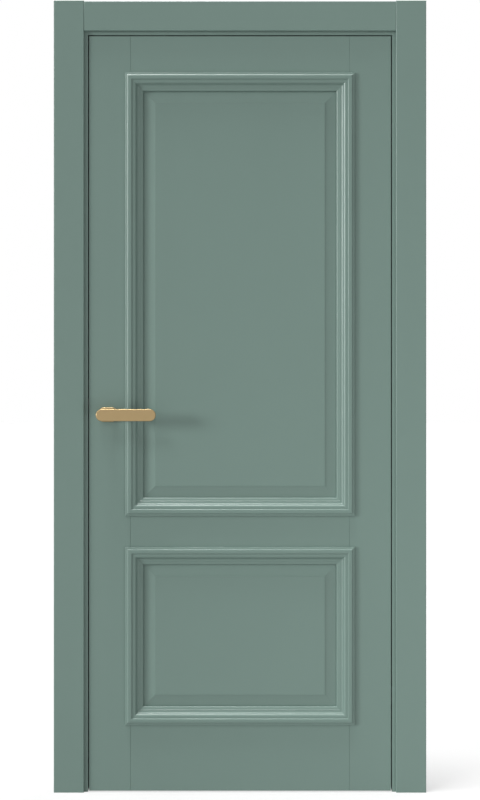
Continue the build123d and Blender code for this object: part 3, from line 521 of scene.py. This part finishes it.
def raised_panel(sizes, low, high, rebate):
    """A panel blank whose four edges are run down to a hollow bevel and a margin on both faces."""
    margin = sizes.margin_half
    field = high.y
    bm = bmesh.new()
    middle = (low + high) / 2
    bmesh.ops.create_grid(bm, x_segments=1, y_segments=1, size=0.5)
    bmesh.ops.scale(bm, verts=bm.verts[:], vec=(high.x - low.x, high.z - low.z, 1))
    bmesh.ops.translate(bm, verts=bm.verts[:], vec=(0, 0, margin))
    rise = field - sizes.shoulder - margin
    inner = bm.faces[:]
    bmesh.ops.inset_region(
        bm, faces=inner, thickness=rebate, use_boundary=True, use_even_offset=True
    )
    last = 0.0
    for step in range(1, sizes.bevel_steps + 1):
        share = step / sizes.bevel_steps
        # The hollow is a parabola, deepest halfway along the bevel
        height = rise * share - 4 * sizes.bevel_hollow * share * (1 - share)
        bmesh.ops.inset_region(
            bm,
            faces=inner,
            thickness=sizes.bevel_width / sizes.bevel_steps,
            depth=height - last,
            use_even_offset=True,
        )
        last = height
    bmesh.ops.inset_region(
        bm, faces=inner, thickness=sizes.shoulder_slant, depth=sizes.shoulder, use_even_offset=True
    )
    other = bmesh.ops.duplicate(bm, geom=bm.verts[:] + bm.edges[:] + bm.faces[:])["geom"]
    other_verts = [part for part in other if isinstance(part, bmesh.types.BMVert)]
    bmesh.ops.scale(bm, verts=other_verts, vec=(1, 1, -1))
    rims = [edge for edge in bm.edges if edge.is_boundary]
    bmesh.ops.bridge_loops(bm, edges=rims)
    bmesh.ops.recalc_face_normals(bm, faces=bm.faces[:])
    upright = Matrix.Translation((middle.x, 0, middle.z)) @ Matrix.Rotation(radians(90), 4, "X")
    bmesh.ops.transform(bm, matrix=upright, verts=bm.verts[:])
    return bm


class DOOR_OT_mouldings(bpy.types.Operator):
    """Run the sixteen mitred lengths of bolection moulding"""

    bl_idname = "door.mouldings"
    bl_label = "Bolection mouldings"

    def execute(self, context):
        sizes = context.scene.door_moulding_sizes
        face_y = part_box("latch_stile")[1].y
        base = context.scene.door_colours.enamel
        enamel = satin_enamel("sprayed_enamel_on_fibreboard_moulding", base)
        for face_name, face in FACES.items():
            proud = Vector((0, face, 0))
            for opening in OPENINGS:
                left_low, left_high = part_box(f"{face_name}_{opening}_left_moulding")
                top_low, top_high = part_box(f"{face_name}_{opening}_top_moulding")
                width = left_high.x - left_low.x
                rebate = face_y - min(abs(left_low.y), abs(left_high.y))
                half_height = (left_high.z - left_low.z) / 2 - width
                half_width = (top_high.x - top_low.x) / 2 - width
                middle = Vector((0, 0, (left_low.z + left_high.z) / 2))
                for edge_name, direction in STICK_DIRECTIONS.items():
                    across = Vector(direction)
                    along = across.cross(proud)
                    reach = half_width if across.x else half_height
                    half_run = half_height if across.x else half_width
                    stick = mitred_stick(moulding_section(sizes, width, rebate), half_run, width)
                    place = Matrix((across, proud, along)).transposed().to_4x4()
                    place.translation = middle + across * reach + proud * face_y
                    bmesh.ops.transform(stick, matrix=place, verts=stick.verts[:])
                    name = f"{face_name}_{opening}_{edge_name}_moulding"
                    stand_in(stick, name, enamel, "moulding")
        return {"FINISHED"}


class DOOR_OT_panels(bpy.types.Operator):
    """Run the two raised and fielded panels"""

    bl_idname = "door.panels"
    bl_label = "Raised panels"

    def execute(self, context):
        sizes = context.scene.door_panel_sizes
        base = context.scene.door_colours.enamel
        enamel = satin_enamel("sprayed_enamel_on_fibreboard_panel", base)
        for opening in OPENINGS:
            low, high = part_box(f"{opening}_panel")
            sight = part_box(f"front_{opening}_left_moulding")[1].x
            panel = raised_panel(sizes, low, high, sight - low.x)
            stand_in(panel, f"{opening}_panel", enamel, "panel")
        return {"FINISHED"}


class DOOR_OT_joinery(bpy.types.Operator):
    """Paint the stiles, rails, jambs and stops, and soften the casings' arrises"""

    bl_idname = "door.joinery"
    bl_label = "Stiles, rails, jambs, stops and casings"

    def execute(self, context):
        base = context.scene.door_colours.enamel
        upright = satin_enamel("sprayed_enamel_on_pine_upright", base, grain=(2.2, 2.2, 120))
        level = satin_enamel("sprayed_enamel_on_pine_level", base, grain=(120, 2.2, 2.2))
        board = satin_enamel("sprayed_enamel_on_fibreboard_casing", base)
        for name in ("latch_stile", "hinge_stile"):
            paint(name, upright)
        for name in ("top_rail", "lock_rail", "bottom_rail"):
            paint(name, level)
        for place, timber in (("left", upright), ("right", upright), ("head", level)):
            paint(f"{place}_jamb", timber)
            paint(f"{place}_stop", timber)
        for face_name in FACES:
            for place in ("left", "right", "head"):
                smoothed_copy(f"{face_name}_{place}_casing", board, "casing")
        return {"FINISHED"}


class DOOR_OT_seals(bpy.types.Operator):
    """Finish the three bulb seals"""

    bl_idname = "door.seals"
    bl_label = "Bulb seals"

    def execute(self, context):
        base = context.scene.door_colours.seal
        upright = extruded_seal("extruded_rubber_seal_upright", base, (0.8, 0.8, 60))
        level = extruded_seal("extruded_rubber_seal_level", base, (60, 0.8, 0.8))
        for place, rubber in (("left", upright), ("right", upright), ("head", level)):
            smoothed_copy(f"{place}_seal", rubber, "seal")
        return {"FINISHED"}


class DOOR_OT_lever_set(bpy.types.Operator):
    """Finish the levers and roses in satin brass"""

    bl_idname = "door.lever_set"
    bl_label = "Levers and roses"

    def execute(self, context):
        base = context.scene.door_colours.brass
        across = {"roughness": 0.40, "line": (22, 0.5, 0.5), "depth": 0.03}
        lever = brushed_metal("satin_brass_lever", base, **across)
        rose = brushed_metal("satin_brass_rose", base, **across)
        for part, finish in (("lever", lever), ("rosette", rose)):
            for face_name in FACES:
                smoothed_copy(f"{face_name}_{part}", finish)
        turned = {"roughness": 0.36, "line": (0.5, 8, 0.5), "depth": 0.02}
        paint("rosette_bolts", brushed_metal("satin_brass_bolt", base, **turned))
        return {"FINISHED"}


class DOOR_OT_latch(bpy.types.Operator):
    """Finish the latch, its plates and the spindle"""

    bl_idname = "door.latch"
    bl_label = "Latch and strike plate"

    def execute(self, context):
        colours = context.scene.door_colours
        steel = colours.stainless
        upright = {"roughness": 0.32, "line": (0.5, 0.5, 25), "depth": 0.03}
        level = {"roughness": 0.28, "line": (25, 0.5, 0.5), "depth": 0.02}
        plate = brushed_metal("brushed_stainless_plate", steel, **upright)
        nose = brushed_metal("brushed_stainless_bolt", steel, **level)
        pressed = zinc_plating("zinc_plated_steel_pressing", colours.zinc_plating)
        for name in ("latch_faceplate", "strike_plate"):
            paint(name, plate)
        paint("latch_bolt", nose)
        for name in ("latch_case", "latch_follower", "spindle"):
            paint(name, pressed)
        return {"FINISHED"}


class DOOR_OT_hinges(bpy.types.Operator):
    """Finish the concealed hinges"""

    bl_idname = "door.hinges"
    bl_label = "Concealed hinges"

    def execute(self, context):
        colours = context.scene.door_colours
        casting = satin_zinc_casting("satin_zinc_casting_hinge", colours.zinc_casting)
        pin = zinc_plating("zinc_plated_steel_pin", colours.zinc_plating)
        for side in ("frame", "leaf"):
            for part in ("housings", "arms"):
                smoothed_copy(f"hinge_{side}_{part}", casting)
            paint(f"hinge_{side}_pins", pin)
        return {"FINISHED"}


class DOOR_OT_fixings(bpy.types.Operator):
    """Finish the screws and dowels"""

    bl_idname = "door.fixings"
    bl_label = "Screws and dowels"

    def execute(self, context):
        colours = context.scene.door_colours
        screw = zinc_plating("zinc_plated_steel_screw", colours.zinc_plating)
        for name in ("corner_screws", "frame_plate_screws", "leaf_plate_screws"):
            paint(name, screw)
        paint("rail_dowels", turned_beech("turned_beech_dowel", colours.beech, colours.beech_fleck))
        return {"FINISHED"}


def add_lamp(name, kind, energy, direction):
    """A lamp that shines from a direction."""
    data = bpy.data.lights.new(name, kind)
    data.energy = energy
    lamp = bpy.data.objects.new(name, data)
    lamp.rotation_euler = Vector(direction).to_track_quat("Z", "Y").to_euler()
    bpy.context.scene.collection.objects.link(lamp)
    return lamp


def seen_directly(tree):
    """1 for rays from the camera and for those that a shiny or clear surface sends out."""
    path = add_node(tree, "ShaderNodeLightPath").outputs
    shiny = add_node(tree, "ShaderNodeMath", {0: path["Is Camera Ray"], 1: path["Is Glossy Ray"]})
    clear = add_node(
        tree,
        "ShaderNodeMath",
        {0: shiny.outputs[0], 1: path["Is Transmission Ray"]},
        operation="ADD",
        use_clamp=True,
    )
    return clear.outputs[0]


class DOOR_OT_stage(bpy.types.Operator):
    """Set the floor, the lamps and the camera"""

    bl_idname = "door.stage"
    bl_label = "Studio"

    def execute(self, context):
        studio = context.scene.door_studio
        material, tree = start_material("white_studio_floor")
        lifted = {0: seen_directly(tree), 1: studio.floor_lift}
        glow = add_node(tree, "ShaderNodeMath", lifted, operation="MULTIPLY")
        matte = add_node(tree, "ShaderNodeBsdfDiffuse", {"Color": [*studio.floor_tone, 1]})
        lift = add_node(tree, "ShaderNodeEmission", {"Strength": glow.outputs[0]})
        shaders = {0: matte.outputs[0], 1: lift.outputs[0]}
        end_material(material, add_node(tree, "ShaderNodeAddShader", shaders))
        bm = bmesh.new()
        bmesh.ops.create_grid(bm, x_segments=1, y_segments=1, size=studio.floor_reach)
        mesh = bpy.data.meshes.new("studio_floor")
        bm.to_mesh(mesh)
        bm.free()
        mesh.materials.append(material)
        floor = bpy.data.objects.new("studio_floor", mesh)
        context.scene.collection.objects.link(floor)

        world = bpy.data.worlds.new("studio_world")
        world.use_nodes = True
        sky = world.node_tree
        sky.nodes.clear()
        # White to the camera and in highlights, and dimmer as the light from all round
        levels = {"Value": seen_directly(sky), "To Min": studio.ambient, "To Max": 1.0}
        level = add_node(sky, "ShaderNodeMapRange", levels).outputs["Result"]
        back = add_node(sky, "ShaderNodeBackground", {"Color": (1, 1, 1, 1), "Strength": level})
        add_node(sky, "ShaderNodeOutputWorld", {"Surface": back.outputs[0]})
        context.scene.world = world

        # Far lamps light the whole door alike
        for name in ("top", "side", "front", "rear"):
            energy = getattr(studio, f"{name}_strength")
            lamp = add_lamp(f"{name}_light", "SUN", energy, getattr(studio, f"{name}_direction"))
            lamp.data.angle = studio.lamp_spread
        # The near panel lights the side next to it the most, and leaves no highlight of its own
        direction = Vector(studio.fill_place) - Vector(studio.fill_aim)
        fill = add_lamp("fill_light", "AREA", studio.fill_strength, direction)
        fill.data.size = studio.fill_size
        fill.location = studio.fill_place
        fill.visible_camera = False
        fill.visible_glossy = False

        data = bpy.data.cameras.new("camera")
        data.lens = data.sensor_width * studio.viewing_distance / studio.frame_height
        data.shift_y = studio.horizon_shift
        camera = bpy.data.objects.new("camera", data)
        face_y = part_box("latch_stile")[0].y
        camera.location = (0, face_y - studio.viewing_distance, studio.eye_height)
        camera.rotation_euler = (radians(90), 0, 0)
        context.scene.collection.objects.link(camera)
        context.scene.camera = camera
        context.scene.view_settings.view_transform = "Standard"
        return {"FINISHED"}


OPERATORS = (
    DOOR_OT_mouldings,
    DOOR_OT_panels,
    DOOR_OT_joinery,
    DOOR_OT_seals,
    DOOR_OT_lever_set,
    DOOR_OT_latch,
    DOOR_OT_hinges,
    DOOR_OT_fixings,
    DOOR_OT_stage,
)


class DOOR_PT_sidebar(bpy.types.Panel):
    """Sidebar panel with the door's steps"""

    bl_label = "Interior door"
    bl_idname = "DOOR_PT_sidebar"
    bl_space_type = "VIEW_3D"
    bl_region_type = "UI"
    bl_category = "Door"

    def draw(self, context):
        for operator in OPERATORS:
            self.layout.operator(operator.bl_idname)


GROUPS = {
    "door_moulding_sizes": DoorMouldingSizes,
    "door_panel_sizes": DoorPanelSizes,
    "door_colours": DoorColours,
    "door_studio": DoorStudio,
}


def register():
    for name, group in GROUPS.items():
        bpy.utils.register_class(group)
        setattr(bpy.types.Scene, name, PointerProperty(type=group))
    for operator in OPERATORS:
        bpy.utils.register_class(operator)
    bpy.utils.register_class(DOOR_PT_sidebar)


def unregister():
    bpy.utils.unregister_class(DOOR_PT_sidebar)
    for operator in reversed(OPERATORS):
        bpy.utils.unregister_class(operator)
    for name, group in GROUPS.items():
        delattr(bpy.types.Scene, name)
        bpy.utils.unregister_class(group)


def main():
    register()
    for operator in OPERATORS:
        group, step = operator.bl_idname.split(".")
        getattr(getattr(bpy.ops, group), step)()


if __name__ == "__main__":
    main()
